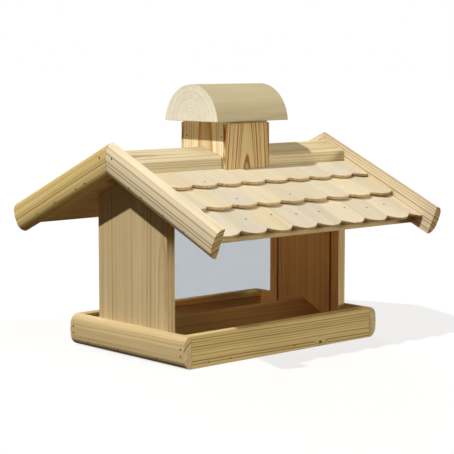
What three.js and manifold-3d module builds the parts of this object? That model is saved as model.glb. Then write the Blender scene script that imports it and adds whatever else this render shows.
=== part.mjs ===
// A wooden bird feeder built like a small house: an open seed tray, two gable walls with clear
// panes between them, a shingled saddle roof with moulded verges, and a hollow chimney that
// fills the seed store when its half-log cap is lifted off.
//
// Units are millimetres. X runs along the ridge, -Y is the front, +Z is up. The origin is on the
// underside of the tray, at its centre.
import * as THREE from 'three';
import { mergeVertices } from 'three/addons/utils/BufferGeometryUtils.js';
import Module from 'manifold-3d';

const wasm = await Module();
wasm.setup();

// ---- Driving dimensions ------------------------------------------------------------------

const BOARD = 15;                // thickness of every planed board and of the moulding
const JOINT_GAP = 0.3;           // clearance left where a sloping piece rests on another

const TRAY_HALF_LENGTH = 183;    // to the inner faces of the moulded short rails
const TRAY_HALF_DEPTH = 133;
const RAIL_HEIGHT = 47;

const WALL_HALF_DEPTH = 79.5;
const WALL_OUTER_X = TRAY_HALF_LENGTH;
const WALL_INNER_X = WALL_OUTER_X - BOARD;

const PANE_Y = 60.5;             // centre plane of a pane and of its grooves
const PANE_THICKNESS = 4;
const PANE_END_CLEARANCE = 0.5;  // between a pane's end and the bottom of its groove
const PANE_TOP_CLEARANCE = 1;    // at least this much below the roof boards
const GROOVE_WIDTH = 5;
const GROOVE_DEPTH = 6;
const GROOVE_FOOT_Z = 32;        // the grooves stop here, so the panes hang clear of the floor

const DIVIDER_RIDGE_Z = 50;
const DIVIDER_FOOT_Y = 65;
const DIVIDER_THICKNESS = 8;

const ROOF_ANGLE = THREE.MathUtils.degToRad(23.6);
const PEAK_Z = 314;              // top inner edge of the verge boards, where they meet
const VERGE_INNER_X = 215;
const VERGE_LENGTH = 261;
const VERGE_WIDTH = 46;
const DECK_DEPTH = 28.7;         // from the verges' top edge down to the roof boards, square on
const EAVE_Y = 191.25;
const FILL_SLOT_HALF = 30;       // the roof boards stop this far from the ridge line

const SHINGLE_THICKNESS = 4;
const COURSE_STEP = 63;          // down the slope, from one course to the next
const LOWEST_BUTT = 241.5;       // down the slope, from the peak to the lowest course's butts
const SHINGLE_LENGTH = 78;
const TOP_COURSE_LENGTH = 71.5;  // cut shorter under the ridge boards
const BUTT_LIFT = 3.3;           // a tilted shingle's butt stands this far off the flat course

const RIDGE_HALF_DEPTH = 45.5;
const CHIMNEY_HALF_WIDTH = 45;
const CHIMNEY_TOP_Z = 339.5;
const FACING_THICKNESS = 4.5;
const FACING_DROP = 3;           // the facings stop this far below the cap

const CAP_HALF_CHORD = 60;
const CAP_HEIGHT = 55;
const CAP_LENGTH = 144;
const CAP_SHIFT_X = 3;
const PLUG_SIDE = 58;
const PLUG_HEIGHT = 14;

const ARC_SEGMENTS = 40;         // facets of the half log
const BUTT_SEGMENTS = 8;         // facets of one shingle's rounded butt
const OVERCUT = 1;               // how far a cutter starts outside the face it cuts

// ---- Materials ----------------------------------------------------------------------------

const WOOD_COLOURS = {
  rail: 0xd9bf88,
  board: 0xd8c08f,
  verge: 0xe6cf9f,
  shingle: 0xe2cfa8,
  facing: 0xd9b07a,
  log: 0xd9c594,
};

function wood(kind) {
  return new THREE.MeshStandardMaterial({ color: WOOD_COLOURS[kind], roughness: 0.75, metalness: 0 });
}

function clearAcrylic() {
  return new THREE.MeshStandardMaterial({
    color: 0xdfe9ec, roughness: 0.08, metalness: 0, transparent: true, opacity: 0.3,
  });
}

// ---- Helpers ------------------------------------------------------------------------------

const AXIS_X = new THREE.Vector3(1, 0, 0);
const AXIS_Y = new THREE.Vector3(0, 1, 0);
const AXIS_Z = new THREE.Vector3(0, 0, 1);

const feeder = new THREE.Group();
feeder.name = 'bird_feeder';

function addPiece(parent, name, geometry, material) {
  const mesh = new THREE.Mesh(geometry, material);
  mesh.name = name;
  parent.add(mesh);
  return mesh;
}

// A straight-sided block between two corners.
function block([x0, y0, z0], [x1, y1, z1]) {
  const geometry = new THREE.BoxGeometry(x1 - x0, y1 - y0, z1 - z0);
  return geometry.translate((x0 + x1) / 2, (y0 + y1) / 2, (z0 + z1) / 2);
}

function outline(points) {
  return new THREE.Shape(points.map(([u, v]) => new THREE.Vector2(u, v)));
}

// A side profile, given as [y, z] points, run along X from x0 to x1.
function runAlongX(profile, x0, x1) {
  const shape = Array.isArray(profile) ? outline(profile) : profile;
  const geometry = new THREE.ExtrudeGeometry(shape, {
    depth: x1 - x0, bevelEnabled: false, steps: 1, curveSegments: ARC_SEGMENTS,
  });
  geometry.applyMatrix4(new THREE.Matrix4().makeBasis(AXIS_Y, AXIS_Z, AXIS_X));
  return geometry.translate(x0, 0, 0);
}

// A closed mesh as a solid that can be cut, and back again.
function toSolid(geometry) {
  const bare = geometry.clone();
  bare.deleteAttribute('normal');
  bare.deleteAttribute('uv');
  const merged = mergeVertices(bare, 1e-4);
  return new wasm.Manifold(new wasm.Mesh({
    numProp: 3,
    vertProperties: new Float32Array(merged.attributes.position.array),
    triVerts: new Uint32Array(merged.index.array),
  }));
}

function toGeometry(solid) {
  const mesh = solid.getMesh();
  const geometry = new THREE.BufferGeometry();
  geometry.setAttribute('position', new THREE.BufferAttribute(new Float32Array(mesh.vertProperties), 3));
  geometry.setIndex(new THREE.BufferAttribute(new Uint32Array(mesh.triVerts), 1));
  geometry.computeVertexNormals();
  return geometry;
}

function cutAway(geometry, cutters) {
  let solid = toSolid(geometry);
  for (const cutter of cutters) {
    solid = solid.subtract(toSolid(cutter));
  }
  return toGeometry(solid);
}

// Height of a plane of the roof above the point y, for a plane that lies `depth` below the
// verges' top edge, measured square to the slope.
function slopeHeight(y, depth) {
  return PEAK_Z - Math.abs(y) * Math.tan(ROOF_ANGLE) - depth / Math.cos(ROOF_ANGLE);
}

// ---- Moulding: flat inside, rounded outside -------------------------------------------------

// The section stands on its edge: u is the thickness, outwards, and v is the width, upwards.
// Each outer corner is a quarter ellipse, and a slight crown joins them.
function mouldingSection(width, outward) {
  const lip = 1;
  const cornerRise = 15;
  const crown = 0.8;
  const cornerSteps = 7;
  const points = [[0, 0]];
  for (let i = 0; i <= cornerSteps; i += 1) {
    const turn = (i / cornerSteps) * (Math.PI / 2);
    points.push([
      lip + (BOARD - crown - lip) * Math.sin(turn),
      cornerRise * (1 - Math.cos(turn)),
    ]);
  }
  points.push([BOARD, width / 2]);
  for (let i = cornerSteps; i >= 0; i -= 1) {
    const [u, v] = points[i + 1];
    points.push([u, width - v]);
  }
  points.push([0, width]);
  return outline(points.map(([u, v]) => [outward * u, v]));
}

// The moulding run towards -Y from y = 0, its section standing on z = 0.
function moulding(width, outward, length) {
  const geometry = new THREE.ExtrudeGeometry(mouldingSection(width, outward), {
    depth: length, bevelEnabled: false, steps: 1,
  });
  const towardsFront = AXIS_Y.clone().negate();
  return geometry.applyMatrix4(new THREE.Matrix4().makeBasis(AXIS_X, AXIS_Z, towardsFront));
}

// ---- Tray ---------------------------------------------------------------------------------

function addTray() {
  const innerDepth = TRAY_HALF_DEPTH - BOARD;
  addPiece(feeder, 'floor_board', block(
    [-TRAY_HALF_LENGTH, -innerDepth, 0],
    [TRAY_HALF_LENGTH, innerDepth, BOARD],
  ), wood('board'));

  for (const [side, sign] of [['front', -1], ['back', 1]]) {
    const faces = [sign * innerDepth, sign * TRAY_HALF_DEPTH].sort((a, b) => a - b);
    addPiece(feeder, `tray_rail_${side}`, block(
      [-TRAY_HALF_LENGTH, faces[0], 0],
      [TRAY_HALF_LENGTH, faces[1], RAIL_HEIGHT],
    ), wood('rail'));
  }

  for (const [side, sign] of [['left', -1], ['right', 1]]) {
    const geometry = moulding(RAIL_HEIGHT, sign, 2 * TRAY_HALF_DEPTH);
    const rail = addPiece(feeder, `tray_rail_${side}`, geometry, wood('board'));
    rail.position.set(sign * TRAY_HALF_LENGTH, TRAY_HALF_DEPTH, 0);
  }
}

// ---- Gable walls, panes and the divider that spreads the seed -------------------------------

function addEndWalls() {
  const top = (y) => slopeHeight(y, DECK_DEPTH + BOARD) - JOINT_GAP;
  const gable = [
    [-WALL_HALF_DEPTH, BOARD],
    [WALL_HALF_DEPTH, BOARD],
    [WALL_HALF_DEPTH, top(WALL_HALF_DEPTH)],
    [0, top(0)],
    [-WALL_HALF_DEPTH, top(WALL_HALF_DEPTH)],
  ];
  for (const [side, sign] of [['left', -1], ['right', 1]]) {
    const faces = [sign * WALL_INNER_X, sign * WALL_OUTER_X].sort((a, b) => a - b);
    const grooveFaces = [sign * (WALL_INNER_X - OVERCUT), sign * (WALL_INNER_X + GROOVE_DEPTH)];
    grooveFaces.sort((a, b) => a - b);
    const grooves = [-PANE_Y, PANE_Y].map((y) => block(
      [grooveFaces[0], y - GROOVE_WIDTH / 2, GROOVE_FOOT_Z],
      [grooveFaces[1], y + GROOVE_WIDTH / 2, PEAK_Z],
    ));
    const wall = cutAway(runAlongX(gable, faces[0], faces[1]), grooves);
    addPiece(feeder, `end_wall_${side}`, wall, wood('board'));
  }
}

function addPanes() {
  const halfLength = WALL_INNER_X + GROOVE_DEPTH - PANE_END_CLEARANCE;
  const roofZ = slopeHeight(PANE_Y + PANE_THICKNESS / 2, DECK_DEPTH + BOARD);
  const topZ = Math.floor(roofZ - PANE_TOP_CLEARANCE);
  for (const [side, sign] of [['front', -1], ['back', 1]]) {
    addPiece(feeder, `pane_${side}`, block(
      [-halfLength, sign * PANE_Y - PANE_THICKNESS / 2, GROOVE_FOOT_Z],
      [halfLength, sign * PANE_Y + PANE_THICKNESS / 2, topZ],
    ), clearAcrylic());
  }
}

function addDivider() {
  const angle = Math.atan2(DIVIDER_RIDGE_Z - BOARD, DIVIDER_FOOT_Y);
  const meetY = JOINT_GAP / 2;
  for (const [side, sign] of [['front', -1], ['back', 1]]) {
    const profile = [
      [sign * meetY, DIVIDER_RIDGE_Z],
      [sign * DIVIDER_FOOT_Y, BOARD],
      [sign * (DIVIDER_FOOT_Y - DIVIDER_THICKNESS / Math.sin(angle)), BOARD],
      [sign * meetY, DIVIDER_RIDGE_Z - DIVIDER_THICKNESS / Math.cos(angle)],
    ];
    const board = runAlongX(profile, -WALL_INNER_X, WALL_INNER_X);
    addPiece(feeder, `divider_board_${side}`, board, wood('board'));
  }
}

// ---- Roof boards and verges -----------------------------------------------------------------

function addRoofBoards() {
  const halfLength = VERGE_INNER_X - JOINT_GAP;
  for (const [side, sign] of [['front', -1], ['back', 1]]) {
    const profile = [
      [sign * FILL_SLOT_HALF, slopeHeight(FILL_SLOT_HALF, DECK_DEPTH)],
      [sign * EAVE_Y, slopeHeight(EAVE_Y, DECK_DEPTH)],
      [sign * EAVE_Y, slopeHeight(EAVE_Y, DECK_DEPTH + BOARD)],
      [sign * FILL_SLOT_HALF, slopeHeight(FILL_SLOT_HALF, DECK_DEPTH + BOARD)],
    ];
    addPiece(feeder, `roof_board_${side}`, runAlongX(profile, -halfLength, halfLength), wood('board'));
  }
}

// A frame lying on one slope: its origin is on the verges' top edge at the peak, local -Y runs
// down the slope and local +Z points out of the roof. The back slope is the front one turned
// half round, so both are made by the same code.
function slopeFrame(side) {
  const turn = new THREE.Group();
  turn.rotation.z = side === 'front' ? 0 : Math.PI;
  feeder.add(turn);
  const slope = new THREE.Group();
  slope.position.z = PEAK_Z;
  slope.rotation.x = ROOF_ANGLE;
  turn.add(slope);
  return slope;
}

// The upper end is mitred upright, so that the front and the back verge meet at the peak.
function vergeBoard(outward) {
  const geometry = moulding(VERGE_WIDTH, outward, VERGE_LENGTH).translate(0, 0, -VERGE_WIDTH);
  const position = geometry.attributes.position;
  const clearance = JOINT_GAP / 2 / Math.cos(ROOF_ANGLE);
  for (let i = 0; i < position.count; i += 1) {
    const isUpperEnd = position.getY(i) > -VERGE_LENGTH / 2;
    if (isUpperEnd) {
      position.setY(i, position.getZ(i) * Math.tan(ROOF_ANGLE) - clearance);
    }
  }
  geometry.computeVertexNormals();
  return geometry;
}

function addVerges(side, slope) {
  const facing = side === 'front' ? 1 : -1;
  for (const [end, sign] of [['left', -1], ['right', 1]]) {
    const localSign = sign * facing;
    const verge = addPiece(slope, `verge_${side}_${end}`, vergeBoard(localSign), wood('verge'));
    verge.position.x = localSign * VERGE_INNER_X;
  }
}

// ---- Shingles -------------------------------------------------------------------------------

// Courses are numbered from the ridge down. Joints of the outer two are staggered by half a
// shingle against the middle one. `butt` is the distance from the peak to the lowest point of the
// butts, `roundness` is how far they bulge below their corners, and `firstJoint` is the X position
// of the joint between the first two shingles.
const COURSE_HALF_LENGTH = VERGE_INNER_X - JOINT_GAP;
const SHINGLE_TILT = Math.atan2(SHINGLE_THICKNESS + BUTT_LIFT, SHINGLE_LENGTH);

const COURSES = [
  {
    number: 1, butt: LOWEST_BUTT - 2 * COURSE_STEP, length: TOP_COURSE_LENGTH, tilted: true,
    width: 47.2, firstJoint: -190.3, count: 10, roundness: 8,
  },
  {
    number: 2, butt: LOWEST_BUTT - COURSE_STEP, length: SHINGLE_LENGTH, tilted: true,
    width: 47.7, firstJoint: -167.0, count: 9, roundness: 8,
  },
  {
    number: 3, butt: LOWEST_BUTT, length: SHINGLE_LENGTH, tilted: false,
    width: 49.5, firstJoint: -152.5, count: 9, roundness: 11,
  },
];

function courseJoints(course) {
  const joints = [-COURSE_HALF_LENGTH];
  for (let i = 0; i < course.count - 1; i += 1) {
    joints.push(course.firstJoint + i * course.width);
  }
  joints.push(COURSE_HALF_LENGTH);
  return joints;
}

// The rounded butt of one shingle, as points from its left edge to its right edge. An end
// shingle is trimmed against the verge, so its arc keeps the full width's radius and only the
// part between its two edges is drawn.
function buttPoints(course, index, leftEdge, rightEdge) {
  const fullWidth = Math.max(course.width, rightEdge - leftEdge);
  const bulge = course.roundness;
  let centre = (leftEdge + rightEdge) / 2;
  if (index === 0) {
    centre = rightEdge - fullWidth / 2;
  } else if (index === course.count - 1) {
    centre = leftEdge + fullWidth / 2;
  }
  const radius = (fullWidth * fullWidth / 4 + bulge * bulge) / (2 * bulge);
  const points = [];
  for (let i = 0; i <= BUTT_SEGMENTS; i += 1) {
    const x = leftEdge + (rightEdge - leftEdge) * (i / BUTT_SEGMENTS);
    const drop = Math.sqrt(radius * radius - (x - centre) ** 2);
    points.push([x, radius - course.butt - drop]);
  }
  return points;
}

function shingleOutline(course, firstIndex, lastIndex, sideGap) {
  const joints = courseJoints(course);
  const left = joints[firstIndex] + sideGap;
  const right = joints[lastIndex + 1] - sideGap;
  const headY = -(course.butt - course.length);
  const points = [[left, headY]];
  for (let i = firstIndex; i <= lastIndex; i += 1) {
    const leftEdge = i === firstIndex ? left : joints[i];
    const rightEdge = i === lastIndex ? right : joints[i + 1];
    const butt = buttPoints(course, i, leftEdge, rightEdge);
    points.push(...(i === firstIndex ? butt : butt.slice(1)));
  }
  points.push([right, headY]);
  return outline(points);
}

// The plate lies on the roof board. A tilted one is raised about the line where a full-length
// shingle of its course would have its head, so its butt laps over the course below.
function shinglePlate(course, firstIndex, lastIndex, sideGap) {
  const hinge = -(course.butt - SHINGLE_LENGTH);
  const shape = shingleOutline(course, firstIndex, lastIndex, sideGap);
  const geometry = new THREE.ExtrudeGeometry(shape, {
    depth: SHINGLE_THICKNESS, bevelEnabled: false, steps: 1,
  });
  geometry.translate(0, -hinge, 0);
  geometry.rotateX(course.tilted ? -SHINGLE_TILT : 0);
  return geometry.translate(0, hinge, JOINT_GAP - DECK_DEPTH);
}

function addSeparateShingles(slope) {
  for (const course of COURSES) {
    for (let i = 0; i < course.count; i += 1) {
      const name = `shingle_front_${course.number}_${String(i + 1).padStart(2, '0')}`;
      addPiece(slope, name, shinglePlate(course, i, i, JOINT_GAP / 2), wood('shingle'));
    }
  }
}

function addJoinedCourses(slope) {
  for (const course of COURSES) {
    const plate = shinglePlate(course, 0, course.count - 1, 0);
    addPiece(slope, `shingle_course_back_${course.number}`, plate, wood('shingle'));
  }
}

// ---- Ridge boards ---------------------------------------------------------------------------

// The ridge boards lie on the uppermost shingles, so they slope as those shingles do.
const RIDGE_ANGLE = ROOF_ANGLE - SHINGLE_TILT;

function topCourseHeight(y) {
  const course = COURSES[0];
  const hinge = course.butt - SHINGLE_LENGTH;
  const hingeDepth = DECK_DEPTH - JOINT_GAP;
  const hingeY = hinge * Math.cos(ROOF_ANGLE) - hingeDepth * Math.sin(ROOF_ANGLE);
  const hingeZ = PEAK_Z - hinge * Math.sin(ROOF_ANGLE) - hingeDepth * Math.cos(ROOF_ANGLE);
  const plateHeight = SHINGLE_THICKNESS / Math.cos(RIDGE_ANGLE);
  return hingeZ + plateHeight - (Math.abs(y) - hingeY) * Math.tan(RIDGE_ANGLE);
}

function ridgeUnderside(y) {
  return topCourseHeight(y) + JOINT_GAP;
}

function ridgeTop(y) {
  return ridgeUnderside(y) + BOARD / Math.cos(RIDGE_ANGLE);
}

function addRidgeBoards() {
  const meetY = JOINT_GAP / 2;
  const shaftX = CHIMNEY_HALF_WIDTH - BOARD;
  const verge = VERGE_INNER_X - JOINT_GAP;
  for (const [side, sign] of [['front', -1], ['back', 1]]) {
    const profile = [
      [sign * meetY, ridgeTop(meetY)],
      [sign * RIDGE_HALF_DEPTH, ridgeTop(RIDGE_HALF_DEPTH)],
      [sign * RIDGE_HALF_DEPTH, ridgeUnderside(RIDGE_HALF_DEPTH)],
      [sign * meetY, ridgeUnderside(meetY)],
    ];
    addPiece(feeder, `ridge_board_${side}_left`, runAlongX(profile, -verge, -shaftX), wood('board'));
    addPiece(feeder, `ridge_board_${side}_right`, runAlongX(profile, shaftX, verge), wood('board'));
  }
}

// ---- Chimney ----------------------------------------------------------------------------------

function addChimney() {
  const shaftX = CHIMNEY_HALF_WIDTH - BOARD;
  const saddle = (y) => ridgeTop(y) + JOINT_GAP;
  const sideBoard = [
    [-RIDGE_HALF_DEPTH, CHIMNEY_TOP_Z],
    [-RIDGE_HALF_DEPTH, saddle(RIDGE_HALF_DEPTH)],
    [0, saddle(0)],
    [RIDGE_HALF_DEPTH, saddle(RIDGE_HALF_DEPTH)],
    [RIDGE_HALF_DEPTH, CHIMNEY_TOP_Z],
  ];
  addPiece(feeder, 'chimney_side_left',
    runAlongX(sideBoard, -CHIMNEY_HALF_WIDTH, -shaftX), wood('verge'));
  addPiece(feeder, 'chimney_side_right',
    runAlongX(sideBoard, shaftX, CHIMNEY_HALF_WIDTH), wood('verge'));

  const facingTop = CHIMNEY_TOP_Z - FACING_DROP;
  const facingOuter = RIDGE_HALF_DEPTH + FACING_THICKNESS;
  const inner = RIDGE_HALF_DEPTH - BOARD;
  for (const [side, sign] of [['front', -1], ['back', 1]]) {
    const innerBoard = [
      [sign * inner, CHIMNEY_TOP_Z],
      [sign * inner, ridgeUnderside(inner)],
      [sign * RIDGE_HALF_DEPTH, ridgeUnderside(RIDGE_HALF_DEPTH)],
      [sign * RIDGE_HALF_DEPTH, CHIMNEY_TOP_Z],
    ];
    addPiece(feeder, `chimney_inner_${side}`, runAlongX(innerBoard, -shaftX, shaftX), wood('board'));

    const facing = [
      [sign * RIDGE_HALF_DEPTH, facingTop],
      [sign * RIDGE_HALF_DEPTH, ridgeUnderside(RIDGE_HALF_DEPTH)],
      [sign * facingOuter, ridgeUnderside(facingOuter)],
      [sign * facingOuter, facingTop],
    ];
    addPiece(feeder, `chimney_facing_${side}`,
      runAlongX(facing, -CHIMNEY_HALF_WIDTH, CHIMNEY_HALF_WIDTH), wood('facing'));
  }
}

// ---- Lift-off cap -----------------------------------------------------------------------------

function addCap() {
  const radius = (CAP_HALF_CHORD ** 2 + CAP_HEIGHT ** 2) / (2 * CAP_HEIGHT);
  const centreZ = CHIMNEY_TOP_Z + CAP_HEIGHT - radius;
  const startAngle = Math.asin((CHIMNEY_TOP_Z - centreZ) / radius);
  const halfLog = new THREE.Shape();
  halfLog.moveTo(-CAP_HALF_CHORD, CHIMNEY_TOP_Z);
  halfLog.lineTo(CAP_HALF_CHORD, CHIMNEY_TOP_Z);
  halfLog.absarc(0, centreZ, radius, startAngle, Math.PI - startAngle, false);
  halfLog.closePath();
  const halfLength = CAP_LENGTH / 2;
  addPiece(feeder, 'cap_log',
    runAlongX(halfLog, CAP_SHIFT_X - halfLength, CAP_SHIFT_X + halfLength), wood('log'));

  const half = PLUG_SIDE / 2;
  addPiece(feeder, 'cap_plug', block(
    [-half, -half, CHIMNEY_TOP_Z - PLUG_HEIGHT],
    [half, half, CHIMNEY_TOP_Z],
  ), wood('board'));
}

// ---- The whole feeder -------------------------------------------------------------------------

addTray();
addEndWalls();
addPanes();
addDivider();
addRoofBoards();
const frontSlope = slopeFrame('front');
const backSlope = slopeFrame('back');
addVerges('front', frontSlope);
addVerges('back', backSlope);
addSeparateShingles(frontSlope);
addJoinedCourses(backSlope);
addRidgeBoards();
addChimney();
addCap();

export default feeder;
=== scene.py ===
# %% [markdown]
# # A garden bird feeder built like a small house
#
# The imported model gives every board, shingle and pane its exact place. This script keeps those
# places and gives each piece what real timber has: eased edges, growth rings that run through
# the whole board, end grain, nails, and clear panes. Everything is in metres, X runs along the
# ridge, -Y is the front and +Z is up.

import math
import random

import bmesh
import bpy
from mathutils import Matrix, Vector
from mathutils.bvhtree import BVHTree


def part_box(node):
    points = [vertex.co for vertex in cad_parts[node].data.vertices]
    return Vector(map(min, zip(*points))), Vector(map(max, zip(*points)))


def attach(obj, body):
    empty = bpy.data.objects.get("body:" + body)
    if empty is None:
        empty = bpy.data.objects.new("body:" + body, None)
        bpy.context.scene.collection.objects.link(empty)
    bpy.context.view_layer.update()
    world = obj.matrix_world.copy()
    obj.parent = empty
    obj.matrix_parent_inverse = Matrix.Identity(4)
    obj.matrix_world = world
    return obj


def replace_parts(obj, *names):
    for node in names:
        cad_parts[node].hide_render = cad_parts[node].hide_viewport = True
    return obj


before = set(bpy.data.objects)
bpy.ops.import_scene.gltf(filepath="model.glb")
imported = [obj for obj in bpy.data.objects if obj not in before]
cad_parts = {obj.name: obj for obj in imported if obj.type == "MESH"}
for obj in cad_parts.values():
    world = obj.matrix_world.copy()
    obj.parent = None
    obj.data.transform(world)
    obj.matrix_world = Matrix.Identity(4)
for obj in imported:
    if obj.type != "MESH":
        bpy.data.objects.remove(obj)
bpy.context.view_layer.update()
MM = 0.001

# %% [markdown]
# ## Helpers for shader nodes
#
# A material or a node group is a small graph. Writing each node as one call keeps that graph
# readable: `add` makes a node, sets its options, and either links or fills in its inputs.

# %% Node helpers
def add(tree, kind, inputs=None, **options):
    node = tree.nodes.new(kind)
    for option, value in options.items():
        setattr(node, option, value)
    for key, value in (inputs or {}).items():
        if isinstance(value, bpy.types.NodeSocket):
            tree.links.new(value, node.inputs[key])
        else:
            node.inputs[key].default_value = value
    return node


def maths(tree, operation, a, b=0.0, c=0.0, clamp=False):
    node = add(tree, "ShaderNodeMath", {0: a, 1: b, 2: c}, operation=operation, use_clamp=clamp)
    return node.outputs[0]


def stretched_noise(tree, vector, scale, detail=2.0):
    """Noise whose lumps are 1 / scale metres long on each axis."""
    stretched = add(tree, "ShaderNodeVectorMath", {0: vector, 1: scale}, operation="MULTIPLY")
    noise = add(tree, "ShaderNodeTexNoise",
                {"Vector": stretched.outputs[0], "Scale": 1.0, "Detail": detail})
    return noise.outputs["Fac"]


def blend(tree, factor, a, b, mode="MIX"):
    node = add(tree, "ShaderNodeMix", data_type="RGBA", blend_type=mode)
    for key, value in ((0, factor), (6, a), (7, b)):
        if isinstance(value, bpy.types.NodeSocket):
            tree.links.new(value, node.inputs[key])
        else:
            node.inputs[key].default_value = value
    return node.outputs[2]


print("node helpers ready")

# %% [markdown]
# ## Growth rings
#
# Pine gets its figure from growth rings: each year adds a wide pale band and a narrow dark one
# around the heart of the log. A flat picture of grain would stop at every edge, so the rings are
# worked out in space instead: the distance from the heart, divided by the ring width. Then a
# face cut along the log shows streaks and arches, and a face cut across it shows arcs, and they
# meet at the corner as they do in a real board.
#
# Each piece's own X axis is the heart of its log, and the pieces lie 1.3 m apart along it, so
# that rounding X / 1.3 gives every board a number. A White Noise node turns that number into the
# board's own tone. The group is used by every wooden finish, each with its own values.

# %% The sawn pine node group
BOARD_SPACING = 1.3
GROUP_NUMBERS = {"Ring Width": 0.003, "Taper": 0.01, "Wander": 0.003, "Contrast": 0.6, "Streaks": 0.3,
                 "Tone Spread": 0.2, "Warmth Spread": 0.1, "End Contrast": 1.0, "Knot Size": 0.0}
GROUP_COLOURS = {"Pale Band": (0.8, 0.65, 0.42, 1), "Dark Band": (0.55, 0.33, 0.13, 1),
                 "End Grain": (0.8, 0.7, 0.6, 1)}


def open_pine_group():
    tree = bpy.data.node_groups.new("sawn_pine", "ShaderNodeTree")
    for name in ("Log Position", "Log Normal", "Knot Place"):
        tree.interface.new_socket(name, in_out="INPUT", socket_type="NodeSocketVector")
    for name, value in GROUP_NUMBERS.items():
        socket = tree.interface.new_socket(name, in_out="INPUT", socket_type="NodeSocketFloat")
        socket.default_value = value
    for name, value in GROUP_COLOURS.items():
        socket = tree.interface.new_socket(name, in_out="INPUT", socket_type="NodeSocketColor")
        socket.default_value = value
    tree.interface.new_socket("Colour", in_out="OUTPUT", socket_type="NodeSocketColor")
    tree.interface.new_socket("Roughness", in_out="OUTPUT", socket_type="NodeSocketFloat")
    tree.interface.new_socket("Height", in_out="OUTPUT", socket_type="NodeSocketFloat")
    return tree


sawn_pine = open_pine_group()
given = add(sawn_pine, "NodeGroupInput").outputs
place = given["Log Position"]
place_x, place_y, place_z = add(sawn_pine, "ShaderNodeSeparateXYZ", {0: place}).outputs[:3]
print("group inputs:", ", ".join(given.keys()[:-1]))

# %% [markdown]
# A knot is a branch that ran out through the board. The rings swell round it, so the same
# falling-off value that draws its dark heart is also added to the distance from the log's heart.

# %% Rings that wander, taper and swell round a knot
knot_offset = add(sawn_pine, "ShaderNodeVectorMath", {0: place, 1: given["Knot Place"]},
                  operation="SUBTRACT")
knot_shape = add(sawn_pine, "ShaderNodeVectorMath", {0: knot_offset.outputs[0], 1: (0.55, 1.0, 1.0)},
                 operation="MULTIPLY")
knot_distance = add(sawn_pine, "ShaderNodeVectorMath", {0: knot_shape.outputs[0]}, operation="LENGTH")
knot_reach = maths(sawn_pine, "DIVIDE", knot_distance.outputs["Value"],
                   maths(sawn_pine, "MAXIMUM", given["Knot Size"], 0.00001))
knot_swell = add(sawn_pine, "ShaderNodeMapRange", {0: knot_reach, 1: 1.0, 2: 5.0, 3: 1.0, 4: 0.0},
                 interpolation_type="SMOOTHSTEP").outputs[0]
knot_heart = add(sawn_pine, "ShaderNodeMapRange",
                 {0: knot_reach, 1: 0.55, 2: 1.25, 3: 1.0, 4: 0.0}).outputs[0]

across = add(sawn_pine, "ShaderNodeCombineXYZ", {1: place_y, 2: place_z}).outputs[0]
radius = add(sawn_pine, "ShaderNodeVectorMath", {0: across}, operation="LENGTH").outputs["Value"]
bend = maths(sawn_pine, "SUBTRACT", stretched_noise(sawn_pine, place, (3.2, 11.0, 11.0), 1.5), 0.5)
bent = maths(sawn_pine, "MULTIPLY_ADD", bend, given["Wander"], radius)
ripple = maths(sawn_pine, "SUBTRACT", stretched_noise(sawn_pine, place, (22.0, 40.0, 40.0), 1.0), 0.5)
bent = maths(sawn_pine, "MULTIPLY_ADD", maths(sawn_pine, "MULTIPLY", ripple, 0.22), given["Wander"], bent)
knot_push = maths(sawn_pine, "MULTIPLY", knot_swell, 1.6)
bent = maths(sawn_pine, "MULTIPLY_ADD", knot_push, given["Knot Size"], bent)
tapered = maths(sawn_pine, "MULTIPLY_ADD", place_x, given["Taper"], bent)
years = maths(sawn_pine, "DIVIDE", tapered, given["Ring Width"])
season = add(sawn_pine, "ShaderNodeTexNoise", {"W": years, "Scale": 0.37, "Detail": 1.0},
             noise_dimensions="1D").outputs["Fac"]
years = maths(sawn_pine, "MULTIPLY_ADD", season, 2.2, years)
print("ring steps:", len(sawn_pine.nodes), "nodes")

# %% [markdown]
# One year is a slow rise from pale early wood to dark late wood and then a sharp drop. Some
# years come out darker than others, the fibres add fine lines, and long soft streaks run through
# the whole board. Cut ends drink in the light, so they get a darker tint and bolder rings.

# %% Colour, roughness and height of the rings
phase = maths(sawn_pine, "FRACT", years)
year_ramp = add(sawn_pine, "ShaderNodeValToRGB", {0: phase})
stops = year_ramp.color_ramp.elements
stops[0].position, stops[0].color = 0.0, (0.25, 0.25, 0.25, 1)
stops[1].position, stops[1].color = 1.0, (0.3, 0.3, 0.3, 1)
for position, level in ((0.09, 0.02), (0.5, 0.06), (0.76, 0.45), (0.88, 1.0), (0.95, 0.85)):
    stops.new(position).color = (level, level, level, 1)
late = year_ramp.outputs["Color"]
year_strength = add(sawn_pine, "ShaderNodeTexNoise", {"W": years, "Scale": 0.61, "Detail": 0.0},
                    noise_dimensions="1D").outputs["Fac"]
year_strength = add(sawn_pine, "ShaderNodeMapRange",
                    {0: year_strength, 1: 0.3, 2: 0.7, 3: 0.25, 4: 1.3}).outputs[0]

normal_x = add(sawn_pine, "ShaderNodeSeparateXYZ", {0: given["Log Normal"]}).outputs[0]
end_facing = maths(sawn_pine, "ABSOLUTE", normal_x)
end_mask = add(sawn_pine, "ShaderNodeMapRange", {0: end_facing, 1: 0.55, 2: 0.9}).outputs[0]
fibre = stretched_noise(sawn_pine, place, (14.0, 700.0, 700.0), 2.0)
streak = stretched_noise(sawn_pine, place, (3.0, 130.0, 130.0), 2.5)
strength = maths(sawn_pine, "MULTIPLY", maths(sawn_pine, "MULTIPLY_ADD", streak, 1.1, 0.45), year_strength)
strength = maths(sawn_pine, "MULTIPLY", strength, given["Contrast"])
end_boost = maths(sawn_pine, "MULTIPLY_ADD", end_mask, given["End Contrast"], 1.0)
strength = maths(sawn_pine, "MULTIPLY", strength, end_boost)
dark = maths(sawn_pine, "MULTIPLY", late, strength)
fibre_change = maths(sawn_pine, "SUBTRACT", fibre, 0.5)
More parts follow.
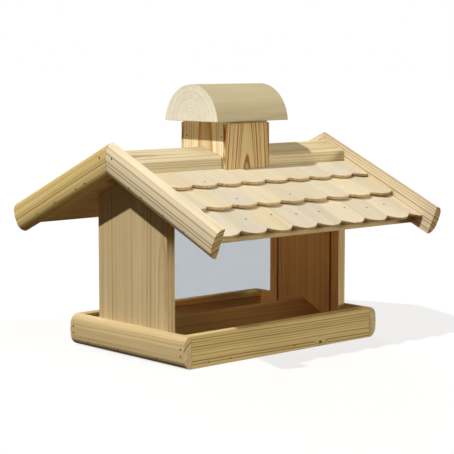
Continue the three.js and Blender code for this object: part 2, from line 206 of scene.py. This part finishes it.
dark = maths(sawn_pine, "MULTIPLY_ADD", fibre_change, 0.35, dark)
streak_change = maths(sawn_pine, "SUBTRACT", streak, 0.42)
dark = maths(sawn_pine, "MULTIPLY_ADD", streak_change, given["Streaks"], dark, clamp=True)
colour = blend(sawn_pine, dark, given["Pale Band"], given["Dark Band"])

board_number = maths(sawn_pine, "ROUND", maths(sawn_pine, "DIVIDE", place_x, BOARD_SPACING))
board_random = add(sawn_pine, "ShaderNodeTexWhiteNoise", {"W": board_number},
                   noise_dimensions="1D").outputs["Color"]
random_tone, random_warmth, _ = add(sawn_pine, "ShaderNodeSeparateColor", {0: board_random}).outputs[:3]
patch = stretched_noise(sawn_pine, place, (7.0, 30.0, 30.0), 1.0)
tone_change = maths(sawn_pine, "SUBTRACT", random_tone, 0.5)
tone = maths(sawn_pine, "MULTIPLY_ADD", tone_change, given["Tone Spread"], 1.0)
patch_change = maths(sawn_pine, "SUBTRACT", patch, 0.5)
tone = maths(sawn_pine, "MULTIPLY_ADD", patch_change, 0.16, tone)
warmth = maths(sawn_pine, "SUBTRACT", random_warmth, 0.5)
less_blue = maths(sawn_pine, "MULTIPLY", warmth, -1.5)
cool_blue = maths(sawn_pine, "MULTIPLY_ADD", less_blue, given["Warmth Spread"], 1.0)
more_red = maths(sawn_pine, "MULTIPLY", warmth, 0.5)
warm_red = maths(sawn_pine, "MULTIPLY_ADD", more_red, given["Warmth Spread"], 1.0)
tint_red = maths(sawn_pine, "MULTIPLY", tone, warm_red)
tint_blue = maths(sawn_pine, "MULTIPLY", tone, cool_blue)
tint = add(sawn_pine, "ShaderNodeCombineColor", {0: tint_red, 1: tone, 2: tint_blue}).outputs[0]
colour = blend(sawn_pine, 1.0, colour, tint, "MULTIPLY")
colour = blend(sawn_pine, end_mask, colour, blend(sawn_pine, 1.0, colour, given["End Grain"], "MULTIPLY"))
colour = blend(sawn_pine, knot_heart, colour, (0.10, 0.045, 0.018, 1))

height = maths(sawn_pine, "MULTIPLY_ADD", late, 0.45, maths(sawn_pine, "MULTIPLY", fibre, 0.9))
rough = maths(sawn_pine, "MULTIPLY_ADD", fibre, 0.25, 0.52)
result = add(sawn_pine, "NodeGroupOutput")
for name, value in (("Colour", colour), ("Roughness", rough), ("Height", height)):
    sawn_pine.links.new(value, result.inputs[name])
print("sawn_pine has", len(sawn_pine.nodes), "nodes")

# %% [markdown]
# ## The wooden finishes
#
# All of it is the same planed, unfinished pine, but no two boards match. The shingles are
# split from clear straight-grained wood, the mouldings are cream, the tray is yellower, the
# divider is the warmest, and the chimney facing has the boldest figure. One function makes them
# all, and a finish is only a different set of group values.

# %% Make the wooden materials
GRAIN_RELIEF = 0.25


def make_wood(name, pale, dark, end, ring=3.0, wander=3.0, **numbers):
    material = bpy.data.materials.new(name)
    material.use_nodes = True
    tree = material.node_tree
    shader = tree.nodes["Principled BSDF"]
    texture_place = add(tree, "ShaderNodeTexCoord")
    pine = add(tree, "ShaderNodeGroup", node_tree=sawn_pine)
    tree.links.new(texture_place.outputs["Object"], pine.inputs["Log Position"])
    tree.links.new(texture_place.outputs["Normal"], pine.inputs["Log Normal"])
    values = {"Ring Width": ring * MM, "Wander": wander * MM, "Pale Band": (*pale, 1.0),
              "Dark Band": (*dark, 1.0), "End Grain": (*end, 1.0)}
    for key, value in numbers.items():
        values[key.replace("_", " ").title()] = value
    for key, value in values.items():
        pine.inputs[key].default_value = value
    bump = add(tree, "ShaderNodeBump", {"Height": pine.outputs["Height"], "Strength": GRAIN_RELIEF,
                                        "Distance": 0.6 * MM})
    tree.links.new(pine.outputs["Colour"], shader.inputs["Base Color"])
    tree.links.new(pine.outputs["Roughness"], shader.inputs["Roughness"])
    tree.links.new(bump.outputs["Normal"], shader.inputs["Normal"])
    shader.inputs["Specular IOR Level"].default_value = 0.25
    return material


WOODS = {
    "board": make_wood("pine_board", (0.74, 0.59, 0.33), (0.44, 0.27, 0.09), (1.12, 1.2, 1.3),
                       ring=2.2, contrast=0.75, streaks=0.7, taper=0.006, tone_spread=0.08,
                       end_contrast=3.0),
    "rail": make_wood("pine_rail", (0.82, 0.65, 0.29), (0.38, 0.23, 0.07), (0.9, 0.8, 0.65),
                      ring=3.3, wander=4.5, contrast=1.2, streaks=0.5, taper=0.008, tone_spread=0.06),
    "trim": make_wood("pine_trim", (0.90, 0.78, 0.55), (0.50, 0.33, 0.13), (0.78, 0.68, 0.50),
                      ring=4.4, wander=1.6, contrast=1.1, streaks=0.36, taper=0.003, tone_spread=0.08),
    "shingle": make_wood("pine_shingle", (0.75, 0.67, 0.505), (0.42, 0.28, 0.13), (0.98, 0.80, 0.54),
                         ring=2.7, wander=1.6, contrast=0.2, streaks=0.2, tone_spread=0.15,
                         warmth_spread=0.13, end_contrast=9.0, taper=0.002),
    "facing": make_wood("pine_facing", (0.76, 0.62, 0.32), (0.36, 0.13, 0.025), (0.8, 0.6, 0.4),
                        ring=3.4, wander=7.0, contrast=2.2, streaks=0.5, taper=0.075),
    "divider": make_wood("pine_divider", (0.70, 0.43, 0.16), (0.38, 0.19, 0.05), (0.9, 0.8, 0.65),
                         ring=3.8, wander=4.0, contrast=0.7, streaks=0.5, taper=0.006),
    "ridge": make_wood("pine_ridge", (0.72, 0.62, 0.40), (0.44, 0.30, 0.12), (0.9, 0.8, 0.65),
                       ring=3.4, contrast=0.8, streaks=0.5, taper=0.006, tone_spread=0.06),
    # The chimney sides are a cream board, but their pale band is pushed to full reflectance in red as
    # painted light, standing in for the extra light the sides catch.
    "chimney": make_wood("pine_chimney", (1.0, 0.90, 0.66), (0.66, 0.37, 0.12), (0.78, 0.68, 0.50),
                         ring=5.2, wander=4.0, contrast=1.0, streaks=0.5, taper=0.03),
    "log": make_wood("pine_log", (0.51, 0.445, 0.285), (0.36, 0.29, 0.15), (1.95, 2.15, 2.9),
                     ring=3.6, wander=2.0, contrast=0.4, streaks=0.45, end_contrast=0.8),
}
print("woods:", ", ".join(WOODS))

# %% [markdown]
# ## Clear panes and nails
#
# The panes are clear acrylic with a faint cool tint. It is a solid sheet, so full transmission
# with the real index of refraction shows both faces and the brighter cut edges by itself. The
# nails are plain wire nails, so a dull grey metal with a little dirt in it is enough.

# %% Make the pane and nail materials
def make_acrylic():
    material = bpy.data.materials.new("clear_acrylic")
    material.use_nodes = True
    tree = material.node_tree
    shader = tree.nodes["Principled BSDF"]
    shader.inputs["Transmission Weight"].default_value = 1.0
    shader.inputs["IOR"].default_value = 1.49
    place = add(tree, "ShaderNodeTexCoord").outputs["Object"]
    smear = stretched_noise(tree, place, (9.0, 9.0, 16.0), 4.0)
    tint = blend(tree, smear, (0.72, 0.755, 0.785, 1), (0.77, 0.80, 0.825, 1))
    tree.links.new(tint, shader.inputs["Base Color"])
    tree.links.new(maths(tree, "MULTIPLY", smear, 0.012), shader.inputs["Roughness"])
    shader.inputs["Specular IOR Level"].default_value = 0.3
    return material


def make_nail_steel():
    material = bpy.data.materials.new("nail_steel")
    material.use_nodes = True
    tree = material.node_tree
    shader = tree.nodes["Principled BSDF"]
    shader.inputs["Metallic"].default_value = 1.0
    place = add(tree, "ShaderNodeTexCoord").outputs["Object"]
    dirt = stretched_noise(tree, place, (900.0, 900.0, 900.0), 2.0)
    colour = blend(tree, dirt, (0.012, 0.01, 0.008, 1), (0.05, 0.042, 0.035, 1))
    tree.links.new(colour, shader.inputs["Base Color"])
    tree.links.new(maths(tree, "MULTIPLY_ADD", dirt, 0.25, 0.35), shader.inputs["Roughness"])
    return material


ACRYLIC = make_acrylic()
NAIL_STEEL = make_nail_steel()
print("other materials:", ACRYLIC.name, NAIL_STEEL.name)

# %% [markdown]
# ## Sawing a board from its log
#
# The frame's solids have the right shape but knife-sharp edges. A planed board has its edges
# eased by less than a millimetre, and that thin highlight is most of what makes it look solid.
# So each wooden piece starts from a copy of its solid, loses its flat seams, and gets a small
# bevel with mesh code. A Bevel modifier could do the same, but a real cut stays put when the
# mesh is given its own axes.
#
# Those axes say where in the log the board was sawn: local X runs along the grain, and the heart
# lies `heart` millimetres behind the board's middle, on the side away from `bark`. Local Y and Z
# stay square to the board, so that its box is a tight one. A board sawn flat has its bark side on
# its face and shows arches; one sawn on the quarter shows fine lines.

# %% Board helper
X_AXIS, Y_AXIS, Z_AXIS = Vector((1, 0, 0)), Vector((0, 1, 0)), Vector((0, 0, 1))
boards_sawn = []


def log_axes(centre, along, bark, heart):
    """Axes whose X is the heart of the log that a piece round `centre` was sawn from."""
    x_axis = Vector(along).normalized()
    out = Vector(bark)
    out = (out - x_axis * out.dot(x_axis)).normalized()
    y_axis = Y_AXIS if x_axis.z > 0.99 else Z_AXIS.cross(x_axis).normalized()
    z_axis = x_axis.cross(y_axis)
    along_log = BOARD_SPACING * len(boards_sawn)
    origin = centre - out * heart * MM - x_axis * along_log
    axes = Matrix((x_axis, y_axis, z_axis)).transposed().to_4x4()
    axes.translation = origin
    return axes


def eased_copy(node, ease):
    """The node's solid, without its flat seams and with its sharp edges eased by `ease` mm."""
    bm = bmesh.new()
    bm.from_mesh(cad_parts[node].data)
    bmesh.ops.remove_doubles(bm, verts=bm.verts, dist=1e-6)
    bmesh.ops.dissolve_limit(bm, angle_limit=math.radians(0.6), verts=bm.verts, edges=bm.edges)
    sharp = [e for e in bm.edges if e.is_manifold and e.calc_face_angle() > math.radians(35)]
    bmesh.ops.bevel(bm, geom=sharp, offset=ease * MM, segments=2, profile=0.6, affect="EDGES",
                    clamp_overlap=True)
    return bm


def finish_piece(name, bm, axes, material, body="house"):
    bm.transform(axes.inverted())
    bmesh.ops.recalc_face_normals(bm, faces=bm.faces)
    mesh = bpy.data.meshes.new(name)
    bm.to_mesh(mesh)
    bm.free()
    for polygon in mesh.polygons:
        polygon.use_smooth = True
    mesh.set_sharp_from_angle(angle=math.radians(40))
    mesh.materials.append(material)
    piece = bpy.data.objects.new(name, mesh)
    bpy.context.collection.objects.link(piece)
    piece.matrix_world = axes
    piece.modifiers.new("flat_faces_stay_flat", "WEIGHTED_NORMAL").keep_sharp = True
    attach(piece, body)
    return piece


def saw(node, wood, along, bark, heart=60.0, ease=0.7, body="house"):
    low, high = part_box(node)
    axes = log_axes((low + high) / 2, along, bark, heart)
    piece = finish_piece(f"{node}_sawn", eased_copy(node, ease), axes, WOODS[wood], body)
    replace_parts(piece, node)
    boards_sawn.append(piece.name)
    return piece


print("saw ready")

# %% [markdown]
# ## The roof's slope
#
# The verges and shingles have their grain running down the slope, so its direction is needed.
# It is measured on the widest face of the roof board instead of being typed in, and stays right
# if the roof's pitch is ever changed.

# %% Measure the slope
def widest_face_normal(node):
    """The outward normal that covers the most area on a node."""
    totals = {}
    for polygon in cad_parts[node].data.polygons:
        key = tuple(round(v, 3) for v in polygon.normal)
        totals[key] = totals.get(key, 0.0) + polygon.area
    best = max(totals, key=lambda key: (round(totals[key], 6), key[2]))
    return Vector(best).normalized()


ROOF_OUT = {}
DOWN_SLOPE = {}
for side, sign in (("front", -1), ("back", 1)):
    normal = widest_face_normal(f"roof_board_{side}")
    normal = normal if normal.z > 0 else -normal
    ROOF_OUT[side] = normal
    DOWN_SLOPE[side] = Vector((0, sign * normal.z, -abs(normal.y)))
print("roof pitch", round(math.degrees(math.acos(ROOF_OUT["front"].z)), 2), "degrees")

# %% [markdown]
# ## The tray
#
# Four rails stand round a floor board. Their grain runs along them, so the front rail shows long
# streaks, and the moulded short rails show their cut ends at the corners.

# %% Saw the tray
saw("floor_board", "board", X_AXIS, Z_AXIS, heart=70)
front_rail = saw("tray_rail_front", "rail", X_AXIS, (0, -0.5, 1), heart=80)
saw("tray_rail_back", "rail", X_AXIS, (0, 1, 0.1), heart=55)
saw("tray_rail_left", "board", Y_AXIS, (-1, 0, 0.9), heart=52)
saw("tray_rail_right", "board", Y_AXIS, (1, 0, 0.3), heart=42)
print("tray pieces:", boards_sawn)

# %% [markdown]
# The front rail has one small knot, low down and right of the middle. It needs a place on this
# one board, so the rail's finish is copied and only the copy gets a knot.

# %% A knot in the front rail
def put_knot(piece, point, size):
    knotty = piece.data.materials[0].copy()
    knotty.name = f"{piece.name}_knot"
    for node in knotty.node_tree.nodes:
        if node.type == "GROUP":
            node.inputs["Knot Place"].default_value = piece.matrix_world.inverted() @ Vector(point)
            node.inputs["Knot Size"].default_value = size
    piece.data.materials[0] = knotty
    return knotty


rail_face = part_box("tray_rail_front")[0].y
print("knot in", put_knot(front_rail, (74 * MM, rail_face, 6.5 * MM), 2.1 * MM).name)

# %% [markdown]
# ## End walls, divider and panes
#
# The walls are sawn flat with the grain upright. The divider's two boards lie along the house.
# The panes keep their solids and only change their material.

# %% Saw the walls and divider, and glaze the panes
saw("end_wall_left", "board", Z_AXIS, (-1, 0.9, 0), heart=105)
saw("end_wall_right", "board", Z_AXIS, (1, -0.8, 0), heart=115)
saw("divider_board_front", "divider", X_AXIS, (0, -0.4, 1), heart=50)
saw("divider_board_back", "divider", X_AXIS, (0, 0.4, 1), heart=50)
for side in ("front", "back"):
    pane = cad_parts[f"pane_{side}"]
    pane.data.materials.clear()
    pane.data.materials.append(ACRYLIC)

# %% [markdown]
# ## Roof boards, verges and ridge
#
# The verges are the same moulding as the short rails, run down the slope. The ridge boards lie
# along the top, left and right of the chimney.

# %% Saw the roof timbers
for side in ("front", "back"):
    saw(f"roof_board_{side}", "board", X_AXIS, ROOF_OUT[side], heart=65)
    for end, sign in (("left", -1), ("right", 1)):
        # The back left verge takes the darker, yellower rail stock instead of trim: a painted shade for the
        # shadow it stands in from the front left.
        stock = "rail" if (side, end) == ("back", "left") else "trim"
        saw(f"verge_{side}_{end}", stock, DOWN_SLOPE[side], ROOF_OUT[side] + X_AXIS * sign * 0.5, heart=70)
        saw(f"ridge_board_{side}_{end}", "ridge", X_AXIS, ROOF_OUT[side], heart=50 + 9 * sign)
print(len(boards_sawn), "timbers so far")

# %% [markdown]
# ## Chimney and cap
#
# The chimney's boards stand upright. The cap is half a small log, so its heart is in the middle
# of the flat underside, and the rings show as half circles on its ends.

# %% Saw the chimney and the cap
for end, sign in (("left", -1), ("right", 1)):
    saw(f"chimney_side_{end}", "chimney", Z_AXIS, (sign, 0.2, 0), heart=24)
for side, sign in (("front", -1), ("back", 1)):
    saw(f"chimney_inner_{side}", "board", Z_AXIS, (0, sign, 0), heart=60)
    saw(f"chimney_facing_{side}", "facing", Z_AXIS, (0.06, sign, 0), heart=12, ease=0.4)
cap_low, cap_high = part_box("cap_log")
saw("cap_log", "log", X_AXIS, Z_AXIS, heart=(cap_high.z - cap_low.z) / 2 / MM - 3, body="cap", ease=0.9)
saw("cap_plug", "board", X_AXIS, Z_AXIS, heart=40, body="cap")
print("cap", [round(v, 4) for v in (cap_high - cap_low)])

# %% [markdown]
# ## Shingles
#
# Every shingle is a separate thin plate with its own bit of grain and its own tone. The front
# slope's plates are copied from their solids. The back slope repeats them half a turn round the
# chimney, which is how the frame was made too, so each strip of the frame is replaced by the
# separate shingles of its course.

# %% Lay the shingles
HALF_TURN = Matrix.Rotation(math.pi, 4, "Z")
random.seed(7)
course_nodes = {}
for node in sorted(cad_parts):
    if node.startswith("shingle_front_"):
        course_nodes.setdefault(node.split("_")[2], []).append(node)


def lay_shingle(node, side):
    low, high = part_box(node)
    bm = eased_copy(node, 0.35)
    centre = (low + high) / 2
    if side == "back":
        bm.transform(HALF_TURN)
        centre = HALF_TURN @ centre
    lean = random.uniform(-0.02, 0.02)
    along = DOWN_SLOPE[side] + X_AXIS * lean
    bark = X_AXIS * random.choice((-1, 1)) + ROOF_OUT[side] * random.uniform(-0.5, 1.4)
    axes = log_axes(centre, along, bark, random.uniform(45, 110))
    name = node.replace("shingle_front", f"shingle_plate_{side}")
    piece = finish_piece(name, bm, axes, WOODS["shingle"])
    boards_sawn.append(name)
    return piece


for course, nodes in sorted(course_nodes.items()):
    for node in nodes:
        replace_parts(lay_shingle(node, "front"), node)
    back = [lay_shingle(node, "back") for node in nodes]
    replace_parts(back[0], f"shingle_course_back_{course}")
    print("course", course, "has", len(nodes), "shingles on each slope")

# %% [markdown]
# ## Nails
#
# Small wire nails hold the feeder together, and their heads are the only metal on it. One head
# is a shallow dome on a short shank, turned from a profile, and is set a hair below the wood.
# All heads of one part of the feeder are joined into one mesh.

# %% Nail helper
NAIL_PROFILE = ((0.0, 0.12), (0.7, 0.10), (1.15, 0.02), (1.4, -0.12), (1.4, -0.45))
NAIL_SIDES = 14


def add_nail(bm, point, normal, size):
    turn = Vector(normal).to_track_quat("Z", "Y").to_matrix().to_4x4()
    turn.translation = point
    rings = []
    for radius, height in NAIL_PROFILE[1:]:
        ring = []
        for i in range(NAIL_SIDES):
            angle = 2 * math.pi * i / NAIL_SIDES
            local = Vector((radius * math.cos(angle), radius * math.sin(angle), height)) * MM * size
            ring.append(bm.verts.new(turn @ local))
        rings.append(ring)
    tip = bm.verts.new(turn @ Vector((0, 0, NAIL_PROFILE[0][1] * MM * size)))
    for i in range(NAIL_SIDES):
        j = (i + 1) % NAIL_SIDES
        bm.faces.new((tip, rings[0][i], rings[0][j]))
        for upper, lower in zip(rings, rings[1:]):
            bm.faces.new((upper[i], lower[i], lower[j], upper[j]))
    bm.faces.new(list(reversed(rings[-1])))


def drive_nails(name, places, body="house", size=1.0):
    bm = bmesh.new()
    for point, normal in places:
        add_nail(bm, point, normal, size)
    piece = finish_piece(name, bm, Matrix.Identity(4), NAIL_STEEL, body)
    print(name, len(places), "nails")
    return piece


# %% [markdown]
# The nails go where a carpenter would drive them: through a rail into the edge of the floor,
# through a short rail into the end of a long one, through a verge into the edge of the roof
# board, and one through each shingle of the lowest course. Each face comes from the box of the
# piece that the nail goes into or through.

# %% Nails in the tray
tray_low = Vector((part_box("tray_rail_left")[0].x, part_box("tray_rail_front")[0].y, 0))
floor_middle = (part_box("floor_board")[0].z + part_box("floor_board")[1].z) / 2
long_rail_middle = (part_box("tray_rail_front")[0].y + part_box("tray_rail_front")[1].y) / 2


MOULDING_CORNER = 15 * MM
MOULDING_THICKNESS = 15
MOULDING_LIP = 1
MOULDING_ROUND = 13.2
MOULDING_FACE = 0.985


def moulding_bulge(height, width):
    """How far the moulding's outer face stands out, as a share of its thickness, at a height."""
    edge = min(height, width - height) / MOULDING_CORNER
    if edge >= 1:
        return MOULDING_FACE
    rise = MOULDING_ROUND * math.sqrt(1 - (1 - edge) ** 2)
    return (MOULDING_LIP + rise) / MOULDING_THICKNESS


rail_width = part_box("tray_rail_left")[1].z
rail_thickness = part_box("tray_rail_left")[1].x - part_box("tray_rail_left")[0].x


def short_rail_nail(sign, y, z):
    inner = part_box("tray_rail_right")[0].x
    out = inner + rail_thickness * moulding_bulge(z, rail_width)
    if z < MOULDING_CORNER:
        lift = -0.6
    elif z > rail_width - MOULDING_CORNER:
        lift = 0.6
    else:
        lift = 0.0
    return Vector((sign * out, y, z)), Vector((sign, 0, lift)).normalized()


tray_nails = []
for sign in (-1, 1):
    for x in (-152, -109, 19, 88):
        place = Vector((-sign * x * MM, sign * abs(tray_low.y), floor_middle + 1.2 * MM * math.sin(x)))
        tray_nails.append((place, Vector((0, sign, 0))))
    for y in (-71, 18, 92):
        tray_nails.append(short_rail_nail(sign, y * MM, floor_middle))
    for y in (long_rail_middle, -long_rail_middle):
        tray_nails.append(short_rail_nail(sign, y, 19 * MM))
        tray_nails.append(short_rail_nail(sign, y, 29 * MM))
drive_nails("nails_tray", tray_nails)

# %% [markdown]
# On the verges the nails follow the middle of the roof board's edge, a little over a third of the
# way up the moulding, with one more at the peak.

# %% Nails in the verges
verge_low, verge_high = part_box("verge_front_right")
verge_width = 46 * MM
board_drop = 36.2 * MM


def slope_point(side, x, down, depth):
    """A point `down` the slope from the peak and `depth` below the verges' top edge."""
    peak = Vector((x, 0, verge_high.z))
    return peak + DOWN_SLOPE[side] * down - ROOF_OUT[side] * depth


verge_nails = []
board_height = verge_width - board_drop
verge_out = verge_low.x + rail_thickness * moulding_bulge(board_height, verge_width)
for side in ("front", "back"):
    for sign in (-1, 1):
        for down in (68, 98, 150, 201):
            jitter = 5 * math.sin(down * sign + (side == "back")) * MM
            place = slope_point(side, sign * verge_out, down * MM + jitter, board_drop)
            verge_nails.append((place, Vector((sign, 0, 0)) - ROOF_OUT[side] * 0.35))
        place = slope_point(side, sign * verge_high.x, 22 * MM, 15 * MM)
        verge_nails.append((place, Vector((sign, 0, 0))))
drive_nails("nails_verges", verge_nails)

# %% [markdown]
# A shingle leans on the course below it, so the height of its upper face isn't a simple number.
# A ray cast straight down through the slope finds it instead, and the nail sits where it hits.
# The nails stand a little off the middle of each shingle and off one line, as driven by hand.

# %% Nails in the shingles
LOWEST_NAIL_DOWN = 200
NAIL_SHIFTS = (5, 8, 12, 8, 6, 14, 7, 0)
RAY_START = -20 * MM


def top_of(node, x, down):
    """Where a line straight through the slope meets the node's upper face."""
    start = slope_point("front", x, down * MM, RAY_START)
    solid = bmesh.new()
    solid.from_mesh(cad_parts[node].data)
    hit = BVHTree.FromBMesh(solid).ray_cast(start, -ROOF_OUT["front"])[0]
    solid.free()
    return hit


def shingle_nail(node, side, down, shift):
    low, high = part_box(node)
    x = (low.x + high.x) / 2 + shift * MM
    hit = top_of(node, x, down)
    return (HALF_TURN @ hit, ROOF_OUT["back"]) if side == "back" else (hit, ROOF_OUT["front"])


shingle_nails = []
for side in ("front", "back"):
    for i, node in enumerate(course_nodes["3"][:len(NAIL_SHIFTS)]):
        down = LOWEST_NAIL_DOWN + 3 * math.sin(i * 2.3)
        shingle_nails.append(shingle_nail(node, side, down, NAIL_SHIFTS[i]))
    shingle_nails.append(shingle_nail(course_nodes["2"][2], side, 154, -3))
    shingle_nails.append(shingle_nail(course_nodes["2"][4], side, 153, 9))
    shingle_nails.append(shingle_nail(course_nodes["1"][2], side, 99.6, 5))
drive_nails("nails_shingles", shingle_nails, size=1.35)

# %% [markdown]
# Each side board of the chimney is nailed into the two boards between them, so its nails stand
# near its upper corners.

# %% Nails in the chimney
chimney_low, chimney_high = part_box("chimney_side_left")
chimney_nails = []
for sign in (-1, 1):
    for y in (-41.5, 37):
        place = Vector((sign * -chimney_low.x, sign * -y * MM, chimney_high.z - 23 * MM))
        chimney_nails.append((place, Vector((sign, 0, 0))))
drive_nails("nails_chimney", chimney_nails)

# %% [markdown]
# ## Floor
#
# The feeder stands on a wide pale floor. A white floor under a white sky would fill every shadow
# from below. Light Path tells a ray that shows the floor to the camera from one that has already
# bounced off the wood, so the floor can look pale and still give little light to the undersides.

# %% Floor
def direct_view(tree):
    """1 for what is seen straight or through a pane, 0 for light that has bounced off a piece."""
    path = add(tree, "ShaderNodeLightPath").outputs
    bounces = maths(tree, "ADD", path["Diffuse Depth"], path["Glossy Depth"], clamp=True)
    return maths(tree, "SUBTRACT", 1.0, bounces)


def make_floor():
    bm = bmesh.new()
    bmesh.ops.create_circle(bm, cap_ends=True, radius=40.0, segments=96)
    mesh = bpy.data.meshes.new("studio_floor")
    bm.to_mesh(mesh)
    bm.free()
    floor = bpy.data.objects.new("studio_floor", mesh)
    bpy.context.collection.objects.link(floor)
    material = bpy.data.materials.new("studio_floor")
    material.use_nodes = True
    tree = material.node_tree
    shader = tree.nodes["Principled BSDF"]
    shader.inputs["Roughness"].default_value = 0.9
    shader.inputs["Specular IOR Level"].default_value = 0.0
    direct = direct_view(tree)
    tone = blend(tree, direct, (0.09, 0.06, 0.03, 1), (0.24, 0.24, 0.24, 1))
    tree.links.new(tone, shader.inputs["Base Color"])
    glow = blend(tree, direct, (0, 0, 0, 1), (0.76, 0.76, 0.76, 1))
    tree.links.new(glow, shader.inputs["Emission Color"])
    shader.inputs["Emission Strength"].default_value = 1.0
    mesh.materials.append(material)
    floor.location.z = -0.0005
    return floor


print("floor", make_floor().name)

# %% [markdown]
# ## Light
#
# The key is a sun lamp from the upper left with a small disc, so that the verges and the
# shingles' butts throw the short, fairly crisp shadows that show how they overlap. Three wide
# weak suns fill the front, the low front right and the back.

# %% Suns
def add_sun(name, towards, energy, disc, colour):
    sun = bpy.data.objects.new(name, bpy.data.lights.new(name, "SUN"))
    sun.data.energy = energy
    sun.data.angle = math.radians(disc)
    sun.data.color = colour
    sun.rotation_mode = "QUATERNION"
    sun.rotation_quaternion = Vector(towards).to_track_quat("Z", "Y")
    bpy.context.collection.objects.link(sun)
    print(name, "from", [round(v, 2) for v in Vector(towards).normalized()])


def towards(azimuth, elevation):
    """The direction of a light; azimuth 0 is the front and 90 the left side."""
    turn, lift = math.radians(azimuth), math.radians(elevation)
    return Vector((-math.sin(turn) * math.cos(lift), -math.cos(turn) * math.cos(lift), math.sin(lift)))


add_sun("key_light", towards(86, 51), 2.85, 1.6, (1.0, 0.97, 0.91))
add_sun("front_light", towards(-8, 48), 0.35, 25.0, (1.0, 0.96, 0.88))
add_sun("low_light", towards(-42, 7), 1.75, 20.0, (1.0, 0.93, 0.78))
add_sun("back_light", towards(198, 26), 0.9, 25.0, (1.0, 0.94, 0.84))

# %% [markdown]
# The panes bend light, and then the renderer lets no lamp shine straight through them, so the
# room behind them would be too dark. Three small warm lamps that the camera can't see stand in
# for the light that has bounced between the boards. A brighter sky would be simpler, but it
# would also fill the shadows under the roof.

# %% Glows under the roof
GLOW_X = -0.15
GLOW_HEIGHT = 0.145


def add_house_glow(y, energy, aim):
    """Stands in for the light that has bounced many times between the boards under the roof."""
    lamp = bpy.data.lights.new("house_glow", "AREA")
    lamp.energy = energy
    lamp.color = (1.0, 0.52, 0.23)
    lamp.size = 0.04
    lamp.spread = math.radians(110)
    glow = bpy.data.objects.new("house_glow", lamp)
    glow.location = (GLOW_X, y, GLOW_HEIGHT)
    glow.rotation_mode = "QUATERNION"
    glow.rotation_quaternion = Vector(aim).to_track_quat("-Z", "Y")
    glow.visible_camera = False
    glow.visible_glossy = False
    glow.visible_transmission = False
    bpy.context.collection.objects.link(glow)
    return glow


add_house_glow(0.0, 0.085, (1, 0, 0.1))
add_house_glow(-0.105, 0.05, (1, 0, 0.1))
add_house_glow(0.098, 0.2, (1, 0.3, -0.15))
print("three glows under the roof")

# %% [markdown]
# The surround is white where it is seen, and gives the wood only a weak light that grows from
# the horizon to straight overhead.

# %% Surround
world = bpy.data.worlds.new("studio")
world.use_nodes = True
bpy.context.scene.world = world
sky = world.node_tree
surround = sky.nodes["Background"]
lift = add(sky, "ShaderNodeSeparateXYZ", {0: add(sky, "ShaderNodeTexCoord").outputs["Generated"]}).outputs[2]
fill = add(sky, "ShaderNodeMapRange", {0: lift, 1: 0.15, 2: 0.95, 3: 0.005, 4: 0.24}).outputs[0]
level = add(sky, "ShaderNodeMix", {0: direct_view(sky), 2: fill, 3: 1.0}).outputs[0]
sky.links.new(level, surround.inputs["Strength"])
surround.inputs["Color"].default_value = (1.0, 1.0, 1.0, 1.0)
bpy.context.scene.view_settings.view_transform = "Standard"
print("surround ready")

# %% [markdown]
# ## Camera
#
# A long lens from a little above the eaves, turned to the front left corner. It stands over two
# metres away, so that the parallel boards stay nearly parallel in the view.

# %% Camera
camera = bpy.data.objects.new("camera", bpy.data.cameras.new("camera"))
camera.data.lens = 118.3
camera.data.sensor_width = 36.0
azimuth, elevation = math.radians(-42.1), math.radians(6.45)
distance = 2.285
back = Vector((math.sin(azimuth) * math.cos(elevation), -math.cos(azimuth) * math.cos(elevation),
               math.sin(elevation)))
aim = Vector((0.0, -0.004, 0.176))
camera.location = aim + back * distance
camera.rotation_mode = "QUATERNION"
camera.rotation_quaternion = back.to_track_quat("Z", "Y")
bpy.context.collection.objects.link(camera)
bpy.context.scene.camera = camera
print("camera", [round(v, 3) for v in camera.location])
